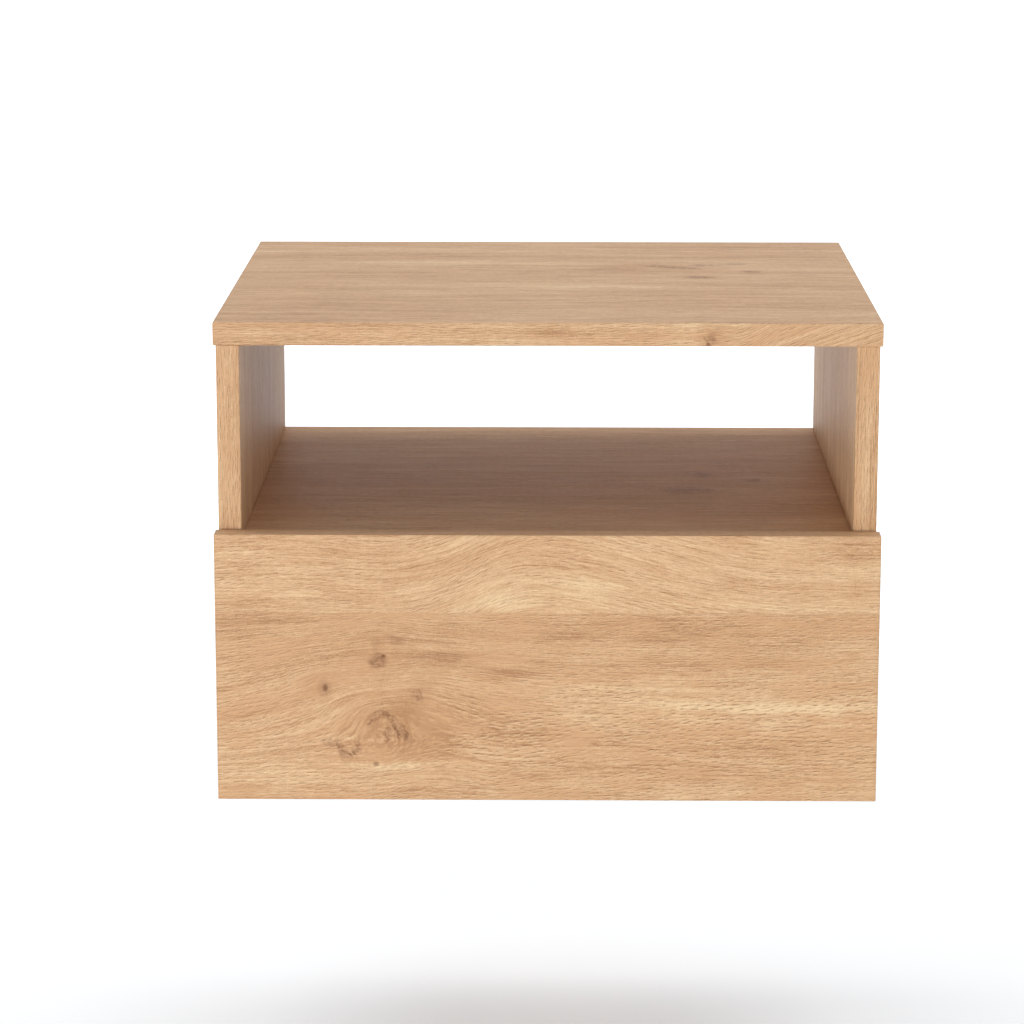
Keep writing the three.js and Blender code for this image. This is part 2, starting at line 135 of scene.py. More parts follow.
class Finish:
    """The nodes of a material or of the world."""

    def __init__(self, owner):
        owner.use_nodes = True
        self.owner = owner
        self.tree = owner.node_tree
        self.tree.nodes.clear()

    def node(self, kind, settings=None, inputs=None, output=0):
        """Adds a node, with its settings first and then its inputs. Gives back one output."""
        node = self.tree.nodes.new(kind)
        for name, value in (settings or {}).items():
            if name == "stops":
                set_stops(node.color_ramp, value)
            else:
                setattr(node, name, value)
        for name, value in (inputs or {}).items():
            socket = socket_named(node.inputs, name)
            if isinstance(value, Wire):
                self.tree.links.new(value.socket, socket)
            else:
                socket.default_value = value
        if node.outputs:
            return Wire(self, socket_named(node.outputs, output))

    def also(self, wire, output):
        """Another output of the node that a wire comes from."""
        return Wire(self, socket_named(wire.socket.node.outputs, output))

    def ramp(self, stops, tone):
        """A colour taken from a ramp by a tone from 0 to 1."""
        return self.node("ShaderNodeValToRGB", {"stops": stops}, {"Fac": tone})

    def relief(self, height, strength, depth):
        """A bump that is so many millimetres deep where its height goes from 0 to 1."""
        inputs = {"Strength": strength, "Distance": depth * MM, "Height": height}
        return self.node("ShaderNodeBump", inputs=inputs)

    def surface(self, sockets):
        """Ends a material with the shader that all the finishes use."""
        shader = self.node("ShaderNodeBsdfPrincipled", inputs=sockets)
        self.node("ShaderNodeOutputMaterial", inputs={"Surface": shader})


def dress(node, finish):
    """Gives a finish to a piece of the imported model."""
    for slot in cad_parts[node].material_slots:
        slot.material = finish.owner

# %% Colours and soft steps
def colour(red, green, blue):
    """A colour as a screen shows it, from 0 to 255, turned into the light that Blender works in."""
    light = []
    for value in (red, green, blue):
        share = value / 255
        light.append(share / 12.92 if share < 0.04045 else ((share + 0.055) / 1.055) ** 2.4)
    return (*light, 1)


def step(value, start, end):
    """0 before start and 1 after end, with a smooth rise between. It falls if end is before start."""
    inputs = {"Value": value, "From Min": start, "From Max": end}
    return value.finish.node("ShaderNodeMapRange", {"interpolation_type": "SMOOTHSTEP"}, inputs)


def mix(amount, under, over):
    """Lays one colour over another, as strongly as amount says."""
    inputs = {"Factor_Float": amount, "A_Color": under, "B_Color": over}
    return amount.finish.node("ShaderNodeMix", {"data_type": "RGBA"}, inputs, "Result_Color")


def bell(offset, reach):
    """1 where the offset is zero, fading to about a third at one reach away."""
    ratio = offset / reach
    return ratio.maths("EXPONENT", ratio * ratio * -1)


def wave(value, pitch):
    """Rises and falls between 0 and 1, once in each pitch."""
    return value.maths("SINE", value * (6.2832 / pitch)) * 0.5 + 0.5


def split(vector):
    """The three parts of a vector."""
    x = vector.finish.node("ShaderNodeSeparateXYZ", inputs={"Vector": vector}, output="X")
    return [x, vector.finish.also(x, "Y"), vector.finish.also(x, "Z")]

# %% [markdown]
# ## The studio
# The piece hangs in front of nothing but white, and the floor below it shows only as a soft
# shadow at the foot of the picture. A white dome lights it from all sides, a little more from
# the front and from the right, as in a room whose open side is there. That alone makes the open
# bay darker than the faces, because less of the dome can be seen from inside it.
# Two wide lamps are added to it. One stands low in front, a little to the left, and lifts the
# faces turned to the camera. One hangs high up and lights the top. It is as wide as a ceiling,
# so that the shadow it draws on the floor fades out slowly to the left and to the right.
# The background is white by what the camera sees, not by more light on the object: Light Path
# tells the world and the floor which rays come from the camera or a reflection. For those rays
# the floor adds a little glow to its white paint, and more of it far away, so that it keeps the
# shadow under the piece and has no edge where it meets the background. The glow is a little
# blue, because the oak throws a warm light on the floor and the shadow should be a plain grey.

# %% A dome of soft light
DOME_LIGHT = 0.41
MORE_IN_FRONT = 0.42
MORE_AT_RIGHT = 0.15
WHITE = (1, 1, 1, 1)


def seen(finish):
    """1 for the rays that look at something, from the camera, off a gloss or through glass."""
    direct = finish.node("ShaderNodeLightPath", output="Is Camera Ray")
    glossy = finish.also(direct, "Is Glossy Ray")
    through = finish.also(direct, "Is Transmission Ray")
    return direct.maths("MAXIMUM", direct, direct.maths("MAXIMUM", glossy, through))


dome = Finish(bpy.data.worlds.new("studio_dome"))
towards = split(dome.node("ShaderNodeTexCoord", output="Generated"))
uneven = 1 + towards[0] * MORE_AT_RIGHT - towards[1] * MORE_IN_FRONT
ambient = uneven * DOME_LIGHT
strength = ambient + seen(dome) * (1 - ambient)
sky = dome.node("ShaderNodeBackground", inputs={"Color": WHITE, "Strength": strength})
dome.node("ShaderNodeOutputWorld", inputs={"Surface": sky})
bpy.context.scene.world = dome.owner
print("dome light:", DOME_LIGHT, "and in front:", round(DOME_LIGHT * (1 + MORE_IN_FRONT), 2))

# %% The floor under the hanging piece
FLOOR_BELOW = 0.276
FLOOR_REACH = 30
FLOOR_GLOW = (0.77, 0.89, 1, 1)
FLOOR_LIFT = 0.313
FAR_LIFT = 0.63
NEAR = 0.7
FAR = 2.2

corners = [(-FLOOR_REACH, -FLOOR_REACH), (FLOOR_REACH, -FLOOR_REACH),
           (FLOOR_REACH, FLOOR_REACH), (-FLOOR_REACH, FLOOR_REACH)]
level = cad_low.z - FLOOR_BELOW
floor_mesh = bpy.data.meshes.new("floor")
floor_mesh.from_pydata([(x, y, level) for x, y in corners], [], [(0, 1, 2, 3)])
floor = bpy.data.objects.new("floor", floor_mesh)
bpy.context.scene.collection.objects.link(floor)

ground = Finish(bpy.data.materials.new("floor_white"))
paint = ground.node("ShaderNodeBsdfDiffuse", inputs={"Color": WHITE})
spot = ground.node("ShaderNodeTexCoord", output="Object")
away = ground.node("ShaderNodeVectorMath", {"operation": "LENGTH"}, {0: spot}, "Value")
lift = seen(ground) * (FLOOR_LIFT + step(away, NEAR, FAR) * FAR_LIFT)
glow = ground.node("ShaderNodeEmission", inputs={"Color": FLOOR_GLOW, "Strength": lift})
both = ground.node("ShaderNodeAddShader", inputs={0: paint, 1: glow})
ground.node("ShaderNodeOutputMaterial", inputs={"Surface": both})
floor_mesh.materials.append(ground.owner)
print("floor at z =", round(level, 3))

# %% The two wide lamps
FRONT_LAMP = {"place": (-2.85, -6.8, 0), "width": 2.4, "height": 0.7, "power": 226}
TOP_LAMP = {"place": (-0.3, 0.9, 8), "width": 9, "height": 3.4, "power": 296}


def softbox(name, aim, place, width, height, power):
    """A flat lamp that shines from one place towards another."""
    lamp = bpy.data.lights.new(name, "AREA")
    lamp.shape = "RECTANGLE"
    lamp.size = width
    lamp.size_y = height
    lamp.energy = power
    holder = bpy.data.objects.new(name, lamp)
    bpy.context.scene.collection.objects.link(holder)
    holder.location = place
    holder.rotation_euler = (aim - Vector(place)).to_track_quat("-Z", "Y").to_euler()


middle = (cad_low + cad_high) / 2
softbox("front_lamp", middle, **FRONT_LAMP)
softbox("top_lamp", middle, **TOP_LAMP)
print("the lamps aim at", [round(value, 3) for value in middle])

# %% [markdown]
# ## Where a point is on a piece
# A finish has to know where it is: how far along a board, on which face, how near an edge. The
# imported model's pieces have their places in their meshes, so Object coordinates are metres in one
# frame for all of them. Spot turns them into millimetres, from the middle of a piece where one is
# named, so that a pore can be given the size of a pore. Its noises are cloudy values round 0.5.

# %% A spot on a piece
AXES = {"x": 0, "y": 1, "z": 2}
TURNED = 0.7
RAW_DEPTH = 1.2


class Spot:
    """Where a point is, in millimetres, and which way its surface is turned."""

    def __init__(self, finish, node=None):
        low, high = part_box(node) if node else (Vector(), Vector())
        place = finish.node("ShaderNodeTexCoord", output="Object")
        centred = {0: place, 1: (low + high) / 2}
        place = finish.node("ShaderNodeVectorMath", {"operation": "SUBTRACT"}, centred)
        scaled = {0: place, "Scale": 1 / MM}
        place = finish.node("ShaderNodeVectorMath", {"operation": "SCALE"}, scaled)
        normal = finish.node("ShaderNodeTexCoord", output="Normal")
        self.finish = finish
        self.half = (high - low) / 2 / MM
        self.place = split(place)
        self.facing = split(normal)

    def turned(self, axis):
        """1 where the surface is turned along an axis, one way or the other."""
        return abs(self.facing[AXES[axis]]) > TURNED

    def face(self, axis, sign):
        """1 on the face of the piece that is turned that way."""
        return (self.facing[AXES[axis]] * sign) > TURNED

    def under(self):
        """1 on what lies under the outside of a board: the walls and the ends of its bores."""
        depth = 0
        for axis, number in AXES.items():
            gap = self.half[number] - abs(self.place[number])
            depth = depth + self.turned(axis) * gap
        return depth > RAW_DEPTH

    def arris(self):
        """How far a point is from the nearest edge of the board."""
        x, y, z = [half - abs(place) for half, place in zip(self.half, self.place)]
        nearer = x.maths("MINIMUM", x, y)
        farther = x.maths("MAXIMUM", x, y)
        return x.maths("MAXIMUM", nearer, x.maths("MINIMUM", farther, z))

    def measured(self, sizes):
        """The place, counted in steps of the given sizes along x, y and z."""
        parts = {axis: value / size for axis, value, size in zip("XYZ", self.place, sizes)}
        return self.finish.node("ShaderNodeCombineXYZ", inputs=parts)

    def cloud(self, sizes, detail=2.0, distortion=0.0):
        """A noise in patches of the given sizes along x, y and z."""
        spot = self.measured(sizes)
        inputs = {"Vector": spot, "Scale": 1.0, "Detail": detail, "Distortion": distortion}
        return self.finish.node("ShaderNodeTexNoise", inputs=inputs)

    def cells(self, sizes, output="Distance"):
        """Voronoi cells of the given sizes along x, y and z."""
        inputs = {"Vector": self.measured(sizes), "Scale": 1.0}
        return self.finish.node("ShaderNodeTexVoronoi", inputs=inputs, output=output)


print("places are measured in millimetres, from the middle of a piece or from the wall")

# %% [markdown]
# ## Along the grain and across it
# Oak decor is a print: a long sheet of grain that is pressed on the faces of a board, and narrow
# bands of the same print glued round its edges. To draw it, a finish must know how far a point
# is along the grain and across it. On the two faces that is the board's own length and width.
# On an edge the grain runs along the band, and what is left across it is the thickness.
# The print is a slice of one large noise. Each board, face and edge takes its slice at another
# layer, so that nothing repeats and the lines of a face don't run on over its edge.

# %% The grain on one board
RIM_STRETCH = 0.8
RIM_NARROW = 1.5
RIM_ROWS = 0.27
BLUSH_SHARE = 0.65
OTHER_FACE = 1.7
ON_A_RIM = 4.3
ON_THE_FAR_RIM = 2.1
ON_AN_END = 3.9


class Grain(Spot):
    """A spot on a board with its grain. along and across name the board's directions."""

    def __init__(self, finish, node, along, across, seed):
        super().__init__(finish, node)
        a = AXES[along]
        b = AXES[across]
        c = 3 - a - b
        self.flat = abs(self.facing[c]) > TURNED
        self.end = abs(self.facing[a]) > TURNED
        self.along = self.place[a] + self.end * (self.place[b] - self.place[a])
        self.across = self.place[c] + self.flat * (self.place[b] - self.place[c])
        side = self.flat * (self.place[c] > 0) * OTHER_FACE
        which_rim = (self.place[b] > 0) * ON_THE_FAR_RIM + self.end * ON_AN_END
        rim = (1 - self.flat) * (ON_A_RIM + which_rim)
        self.layer = seed + side + rim
        self.run = self.along * (RIM_STRETCH + self.flat * (1 - RIM_STRETCH))
        self.level = self.across * (RIM_NARROW + self.flat * (1 - RIM_NARROW))
        self.start_figure()

    def start_figure(self):
        """What a figure may change: hearts, dots, rings, tone, calm places, blush and pore rows."""
        nothing = 0 * self.across
        self.dark = nothing
        self.dots = nothing
        self.warm = nothing
        self.tone = nothing
        self.calm = nothing
        self.blush = BLUSH_SHARE + nothing
        self.rows = (1 - self.flat) * RIM_ROWS

    def noise(self, long, wide, detail=2.0, shift=0.0):
        """Cloudy values round 0.5 in patches so many millimetres long and wide, along the grain."""
        parts = {"X": self.run / long, "Y": self.level / wide, "Z": self.layer + shift}
        spot = self.finish.node("ShaderNodeCombineXYZ", inputs=parts)
        inputs = {"Vector": spot, "Scale": 1.0, "Detail": detail}
        return self.finish.node("ShaderNodeTexNoise", inputs=inputs)

    def bend(self, rise):
        """Lifts the lines of the grain by so many millimetres."""
        self.level = self.level - rise


print("a grain is laid by board, so that no two boards carry the same print")

# %% [markdown]
# ## What the grain does
# A plank is cut across the growth rings of a trunk. Where the cut runs along them the grain is
# straight, where it grazes them it makes tall arches, and round a branch it flows aside.
# All three are bends of one set of lines, so they are made by moving the lines before anything
# is drawn: an arch lifts them by a bell-shaped amount, a knot pushes them away from its middle.
# The knot itself is a dark heart of broken streaks in a warm ring. In a burl, where many small
# branches grew close together, there is more: rings as in a small trunk, half hoops where the
# cut grazes them, and the dark dots of pin knots. Two noises make the knots and the hoops
# ragged, because nothing in a trunk is a clean ellipse.

# %% Arches
def arch(grain, where, middle, rise, fall, reach_before, reach_after):
    """Lifts the lines by rise up to the middle, and lets them down by fall after it."""
    offset = grain.along - middle
    after = offset > 0
    height = rise + after * (fall - rise)
    reach = reach_before + after * (reach_after - reach_before)
    lifted = after * (rise - fall) + height * bell(offset, reach)
    grain.bend(where * lifted)

# %% Knots
RAGGEDNESS = 1.8
HEART_SIZE = 1.3
RING_SIZE = 5.0
PUSH_REACH = 1.9
HOOP_THICK = 0.34
DOT_SIZE = 2.4


def knot(grain, where, along, across, length, width, heart=0.0, ring=0.0, push=0.0, tilt=0.0):
    """A knot on one face: how dark its heart is, and how warm the ring round it."""
    u = grain.along - along
    v = grain.across - across - u * tilt
    near_u = u / length + (grain.ragged - 0.5) * RAGGEDNESS
    near_v = v / width + (grain.ragged_too - 0.5) * RAGGEDNESS
    distance = near_u * near_u + near_v * near_v
    if heart:
        grain.dark = grain.dark + where * step(distance, HEART_SIZE, 0.0) * heart
    if ring:
        grain.warm = grain.warm + where * step(distance, RING_SIZE, 0.2) * ring
    if push:
        pull = u / (length * PUSH_REACH)
        squeeze = v / (width * PUSH_REACH)
        closeness = u.maths("EXPONENT", (pull * pull + squeeze * squeeze) * -1)
        grain.bend(where * closeness * v * push)


def rings(grain, along, across, apart, wobble):
    """Lines that run round a point, bent by the ragged noises: 1 on a line and 0 between."""
    u = grain.along - along + (grain.ragged - 0.5) * wobble
    v = grain.across - across + (grain.ragged_too - 0.5) * wobble
    return step(wave(u.maths("SQRT", u * u + v * v), apart), 0.25, 0.8)


def hoop(grain, where, along, across, length, height, amount):
    """Half a dark ring: its upper half, or its lower half if the height is below zero."""
    near_u = (grain.along - along + (grain.ragged - 0.5) * length) / length
    near_v = (grain.across - across + (grain.ragged_too - 0.5) * length) / height
    distance = near_u * near_u + near_v * near_v
    off_ring = distance.maths("SQRT", distance) - 1
    half = step(near_v, -0.4, 0.5)
    grain.dark = grain.dark + where * bell(off_ring, HOOP_THICK) * half * amount


def dot(grain, where, along, across, length, width, amount):
    """A small dark spot with a soft edge, as a pin knot leaves."""
    near_u = (grain.along - along) / length
    near_v = (grain.across - across) / width
    distance = near_u * near_u + near_v * near_v
    grain.dots = grain.dots + where * step(distance, DOT_SIZE, 0.0) * amount


def shade(grain, where, along, across, reach_along, reach_across, amount):
    """A patch that is lighter, or darker if amount is below zero: mostly the print's own tone, but on
    the top's front band a painted shade.
    """
    patch = bell(grain.along - along, reach_along) * bell(grain.across - across, reach_across)
    grain.tone = grain.tone + where * patch * amount

# %% [markdown]
# ## The print
# Seen close, the decor is layers of streaks, each on its own scale: broad lighter and darker
# bands, finer bands, hair-thin lines and a fibre that only shows as a soft roughness. One number
# adds them up, and a colour ramp turns it into oak: honey where it is light, a greyer tan where
# it is dark. Thin veins are drawn where a noise passes its middle value, and a warmer blush lies
# over whole patches. The pores come after that, as short dark dashes in rows along the lines,
# each with a pale lip above it: a painted highlight, like light caught on the pore's edge.
# Voronoi cells stretched along the grain give one dash in each cell, of its own length and
# strength and leaning a little. Where a drill has gone through the print, none of this shows,
# but the chips of the board do.

# %% Pores
CROWDED_PORES = {"apart": 5.8, "rows": 2.6, "length": 2.5, "width": 0.42, "loose": 0.7}
LONG_PORES = {"apart": 9.0, "rows": 1.5, "length": 4.2, "width": 0.3, "loose": 1.0}
STROKE_LEAN = 0.1
SHORTEST = 0.6
LENGTH_SPREAD = 0.9
FAINTEST = 0.45
STRENGTH_SPREAD = 0.75
# Where the painted highlight of each pore's lip lies, in widths of the dash.
HIGHLIGHT_ABOVE = 1.6


def strokes(grain, apart, rows, length, width, loose):
    """Short strokes along the grain, one in each stretched cell: dark ones, and their pale lips,
    which are painted highlights.
    """
    u = grain.run / apart + grain.layer * 7
    v = grain.level / rows + grain.layer * 3
    spot = grain.finish.node("ShaderNodeCombineXYZ", inputs={"X": u, "Y": v})
    settings = {"voronoi_dimensions": "2D"}
    inputs = {"Vector": spot, "Scale": 1.0, "Randomness": loose}
    cell = grain.finish.node("ShaderNodeTexVoronoi", settings, inputs, "Position")
    centre = split(cell)
    chance = split(grain.finish.also(cell, "Color"))
    off_along = (u - centre[0]) * apart
    off_across = (v - centre[1]) * rows - off_along * STROKE_LEAN
    off_u = off_along / (length * (SHORTEST + chance[0] * LENGTH_SPREAD))
    off_v = off_across / width
    # The lip is a painted highlight, a little off each dark dash.
    off_highlight = off_v + HIGHLIGHT_ABOVE
    strength = FAINTEST + chance[1] * STRENGTH_SPREAD
    dark = step(off_u * off_u + off_v * off_v, 1.2, 0.2) * strength
    pale = step(off_u * off_u + off_highlight * off_highlight, 1.2, 0.2) * strength
    return dark, pale

# %% The board inside a bore
CHIP_TONES = [
    (0.0, colour(150, 114, 78)),
    (0.5, colour(186, 150, 108)),
    (1.0, colour(216, 186, 146)),
]


def chips(spot):
    """Pressed wood chips, as they show where a drill has gone through the print."""
    chip = split(spot.cells((2.4, 2.4, 0.9), "Color"))[0]
    tone = chip * 0.8 + (spot.cloud((0.7, 0.7, 0.4)) - 0.5) * 0.5 + 0.1
    return spot.finish.ramp(CHIP_TONES, tone)

# %% Oak's colours and its streaks
OAK_TONES = [
    (0.00, colour(170, 123, 84)),
    (0.25, colour(197, 153, 110)),
    (0.50, colour(213, 172, 132)),
    (0.75, colour(224, 189, 146)),
    (1.00, colour(234, 204, 161)),
]
BLUSH = colour(209, 162, 119)
PORE_BROWN = colour(150, 102, 62)
# The cream of the pores' lips is a painted highlight.
PAINTED_HIGHLIGHT_CREAM = colour(234, 206, 164)
RING_BROWN = colour(188, 140, 96)
KNOT_BROWN = colour(124, 80, 48)
NARROWEST = 0.4
SWAY = 12
MIDDLE_TONE = 0.52
STREAKS = [
    {"long": 240, "wide": 22, "shift": 11.0, "weight": 0.8},
    {"long": 110, "wide": 5.0, "shift": 13.0, "weight": 0.45},
    {"long": 60, "wide": 1.5, "detail": 1, "shift": 15.0, "weight": 0.6},
    {"long": 20, "wide": 0.8, "shift": 17.0, "weight": 0.65},
]
FLECK_WEIGHT = 0.75
SPECK_WEIGHT = 0.5
MOTTLE_WEIGHT = 0.35
VEIN_WIDTH = 0.035
VEIN_DEPTH = 0.2
CROWDED_DARK = 0.5
CROWDED_PALE = 0.36
LONG_DARK = 0.4
LONG_PALE = 0.26
DARKEST_RING = 0.8
DARKEST_HEART = 0.95
SEAM_IN = 0.9
SEAM_DARK = 0.12
RELIEF_DEPTH = 0.15
ROUGHNESS = 0.53
SPECULAR = 0.34
print("oak has", len(OAK_TONES), "tones and streaks on", len(STREAKS), "scales")

# %% The layers of the print
def print_tone(grain):
    """How light the print is, from 0 to 1: streaks on every scale, added up."""
    tone = MIDDLE_TONE + grain.tone
    for streak in STREAKS:
        layer = grain.noise(streak["long"], streak["wide"], streak.get("detail", 2), streak["shift"])
        tone = tone + (layer - 0.5) * streak["weight"]
    vein = bell(grain.noise(70, 2.4, 1, 33.0) - 0.5, VEIN_WIDTH)
    tone = tone + (grain.fleck - 0.5) * FLECK_WEIGHT + (grain.speck - 0.5) * SPECK_WEIGHT
    return tone + (grain.mottle - 0.5) * MOTTLE_WEIGHT - vein * VEIN_DEPTH


def blushed(grain, tone, wood):
    """Lays a warmer tint over patches of the print, but not over its lightest lines."""
    blush = step(grain.noise(55, 20, 2, 21.0), 0.42, 0.66) * step(tone, 0.95, 0.5)
    return mix(blush * grain.blush, wood, BLUSH)


def pored(grain, wood):
    """Draws two kinds of pores, short crowded ones and long faint ones, and their lips as painted
    highlights.
    """
    dark, pale = strokes(grain, **CROWDED_PORES)
    dark_too, pale_too = strokes(grain, **LONG_PORES)
    crowded = step(grain.noise(60, 12, 1, 23.0) + grain.rows, 0.38, 0.58)
    sparse = step(grain.noise(40, 5, 1, 27.0), 0.28, 0.55)
    open_grain = 1 - grain.calm
    darkest = dark * crowded * CROWDED_DARK + dark_too * sparse * LONG_DARK
    palest = pale * crowded * CROWDED_PALE + pale_too * sparse * LONG_PALE
    grain.pore = darkest * open_grain
    # The lips are painted highlights beside the pores.
    painted_highlight = palest * open_grain
    return mix(grain.pore, mix(painted_highlight, wood, PAINTED_HIGHLIGHT_CREAM), PORE_BROWN)


def knotted(grain, wood):
    """Draws the warm rings and the dark hearts that the figure has asked for."""
    wood = mix(grain.warm.maths("MINIMUM", grain.warm, DARKEST_RING), wood, RING_BROWN)
    heart = grain.dark * (0.25 + 0.75 * grain.swirl) + grain.dots
    return mix(heart.maths("MINIMUM", heart, DARKEST_HEART), wood, KNOT_BROWN)


def edged(grain, wood):
    """Draws the hair line where an edge band meets the face, and the chips in the bores."""
    seam = step(abs(grain.arris() - SEAM_IN), 0.35, 0.1) * grain.flat
    wood = mix(seam * SEAM_DARK, wood, PORE_BROWN)
    return mix(grain.under(), wood, chips(grain))

# %% Oak on one board
def oak(node, along, across, seed, figure=None, specular=SPECULAR):
    """Covers one board with the print. figure adds what is special to this board."""
    finish = Finish(bpy.data.materials.new("oak_" + node))
    grain = Grain(finish, node, along, across, seed)
    grain.ragged = grain.noise(7, 5, 2, 31.0)
    grain.ragged_too = grain.noise(7, 5, 2, 47.0)
    grain.swirl = step(grain.cloud((4.5, 4.5, 4.5), 1, 2.5), 0.4, 0.6)
    sway = (grain.noise(190, 70, 1, 3.0) - 0.5) * (NARROWEST + grain.flat * (1 - NARROWEST))
    if figure:
        figure(grain)
    grain.bend(sway * SWAY)

    grain.fleck = grain.noise(6, 1.0, 2, 19.0)
    grain.speck = grain.cloud((1.3, 1.3, 1.3), 1)
    grain.mottle = grain.noise(34, 15, 2, 29.0)
    tone = print_tone(grain)
    wood = finish.ramp(OAK_TONES, tone)
    wood = blushed(grain, tone, wood)
    wood = pored(grain, wood)
    wood = knotted(grain, wood)
    wood = edged(grain, wood)

    height = grain.fleck * 0.4 + grain.speck * 0.7 - grain.pore
    bump = finish.relief(height, strength=0.8, depth=RELIEF_DEPTH)
    shine = ROUGHNESS + grain.pore * 0.2 + (grain.mottle - 0.5) * 0.08
    finish.surface({"Base Color": wood, "Roughness": shine, "Normal": bump,
                    "Specular IOR Level": specular})
    dress(node, finish)
    print("oak on", node)

# %% [markdown]
# ## What is special on each board
# A print that is the same everywhere looks like wallpaper. So each board gets a figure of its
# own, from the tools above. The drawer front is the face that everybody sees. Its print shows
# two planks that meet in a line 56 mm under its upper edge. The upper plank is plain, with one
# tall arch in the middle. The lower one has arches on the left and, in them, a burl with rings
# round it and three smaller knots. Places are in millimetres from the middle of the board, along
# the grain and across it. A shade is a place where the print is lighter or darker as a whole,
# except one on the top's front band, which is a painted shade. The front is also printed lighter
# towards the right, which is painted light.

# %% The joint of the front's planks
JOINT_ABOVE_MIDDLE = 39.5
JOINT_WOBBLE = 3
OTHER_PLANK = 5.1
# Painted light: the front is printed lighter towards the right, to even out the front lamp that
# stands on the left.
PAINTED_LIGHT_TO_THE_RIGHT = 0.0002
print("the front's planks meet", JOINT_ABOVE_MIDDLE, "mm over its middle")

# %% The lines and the knots of the front
def front_lines(grain, upper, lower):
    """The tall arch of the upper plank, and the low ones that flow round the lower one's burl."""
    arch(grain, upper, -12, 22, 34, 48, 105)
    arch(grain, upper, -118, -5, -5, 50, 45)
    arch(grain, lower * bell(grain.across + 12, 38), -98, 27, 14, 92, 68)
    arch(grain, lower * bell(grain.across + 78, 22), -90, 8, 8, 45, 45)


def front_burl(grain, lower):
    """The large knot: rings round it, two dark hoops, and the hearts between them."""
    round_burl = rings(grain, -116, -50, 4.2, 12)
    patch = bell(grain.along + 114, 24) * bell(grain.across + 50, 17)
    grain.tone = grain.tone + lower * patch * (0.45 - round_burl) * 0.4
    grain.swirl = (grain.swirl + round_burl) * 0.5
    knot(grain, lower, -110, -46, 20, 14, ring=0.25, push=0.6)
    hoop(grain, lower, -115, -42, 8.5, 9, 0.75)
    hoop(grain, lower, -138, -52, 6.5, -11, 0.85)
    knot(grain, lower, -111, -47, 3, 8, heart=0.8)
    knot(grain, lower, -101, -47, 7, 7, heart=0.85, tilt=-0.5)
    knot(grain, lower, -150, -54, 8, 4, heart=0.4, tilt=-0.3)
    dot(grain, lower, -119, -69, 1.8, 1.4, 0.6)


def front_knots(grain, lower):
    """The smaller knots over the burl, on its right and on its left."""
    knot(grain, lower, -113, 12, 12, 11, ring=0.35, push=0.5)
    knot(grain, lower, -117, 5, 7, 6, heart=0.5)
    dot(grain, lower, -117, 6, 6, 5, 0.25)
    dot(grain, lower, -113.5, 9, 1.2, 1, 0.85)
    knot(grain, lower, -119, 18, 5, 5, heart=0.35)
    knot(grain, lower, -105, 20, 8, 4, heart=0.45)
    knot(grain, lower, -93, -22, 13, 10, heart=0.15, ring=0.35, tilt=0.9)
    knot(grain, lower, -89, -18, 4, 5, heart=0.5)
    knot(grain, lower, -158, -13, 8, 7, ring=0.3, push=0.4)
    dot(grain, lower, -154.5, -14, 4.2, 5, 0.3)
    dot(grain, lower, -154, -14, 1.6, 2.4, 0.6)

# %% The shades and the pores of the front
def front_shades(grain, upper, lower):
    """Where the print is lighter or darker as a whole."""
    shade(grain, lower, -104, -42, 20, 13, -0.25)
    shade(grain, lower, -80, -44, 18, 15, -0.12)
    shade(grain, lower, -100, -71, 34, 4, 0.4)
    shade(grain, lower, -75, -52, 28, 18, -0.15)
    shade(grain, lower, -72, 8, 26, 5, -0.3)
    shade(grain, lower, -28, -4, 22, 4, -0.4)
    shade(grain, lower, 110, 27, 160, 10, -0.32)
    shade(grain, lower, 70, -76, 130, 8, -0.28)
    shade(grain, lower, 130, -54, 120, 10, -0.14)
    shade(grain, lower, 165, -27, 115, 5, 0.42)
    shade(grain, lower, -30, -22, 50, 10, -0.12)
    shade(grain, lower, -180, -78, 70, 14, 0.25)
    shade(grain, lower, -170, 22, 80, 16, -0.1)
    shade(grain, upper, -30, 47, 24, 7, 0.4)
    shade(grain, upper, 30, 60, 60, 9, 0.3)
    shade(grain, upper, -20, 75, 26, 9, -0.05)
    shade(grain, upper, -150, 46, 60, 6, -0.3)
    shade(grain, upper, 120, 45, 100, 6, 0.16)


def front_pores(grain, upper, lower):
    """Where the pores are crowded, and where there are hardly any."""
    round_knots = lower * bell(grain.along + 118, 46) * bell(grain.across + 28, 34)
    far_left = bell(grain.along + 230, 90)
    grain.calm = round_knots * 0.65 + upper * 0.22 + lower * far_left * 0.2
    grain.rows = grain.rows + lower * bell(grain.along + 190, 60) * 0.15
    grain.rows = grain.rows + lower * step(grain.along, -60, 40) * 0.1

# %% The whole front
def drawer_front_figure(grain):
    """What is special on the drawer front: its two planks, and what lies on each."""
    front = grain.face("y", -1)
    joint = JOINT_ABOVE_MIDDLE + (grain.noise(60, 40, 1, 53.0) - 0.5) * JOINT_WOBBLE
    upper = front * step(grain.across - joint, -0.5, 0.5)
    lower = front - upper
    grain.blush = grain.blush - upper * 0.4
    grain.layer = grain.layer + upper * OTHER_PLANK
    front_lines(grain, upper, lower)
    front_burl(grain, lower)
    front_knots(grain, lower)
    front_shades(grain, upper, lower)
    front_pores(grain, upper, lower)
    # Painted light: lighter towards the right, to even out the front lamp on the left.
    grain.tone = grain.tone + front * grain.along * PAINTED_LIGHT_TO_THE_RIGHT


oak("drawer_front", "x", "z", 2.0, drawer_front_figure)

# %% [markdown]
# ## The boards of the carcass
# The top has a string of soft knots near its right back corner, and one more in the band on its
# front edge, where the lines run uphill towards the corner. It is also a little glossier than
# the rest, as a top that is wiped every day gets. The shelf has the same kind of knots, fainter.
# The sides stand, so their grain runs upright, and their outer faces have an arch and two knots.
# The bottom and the back panel are the plainest sheets.

# %% The top's figure
TOP_SPECULAR = 0.43


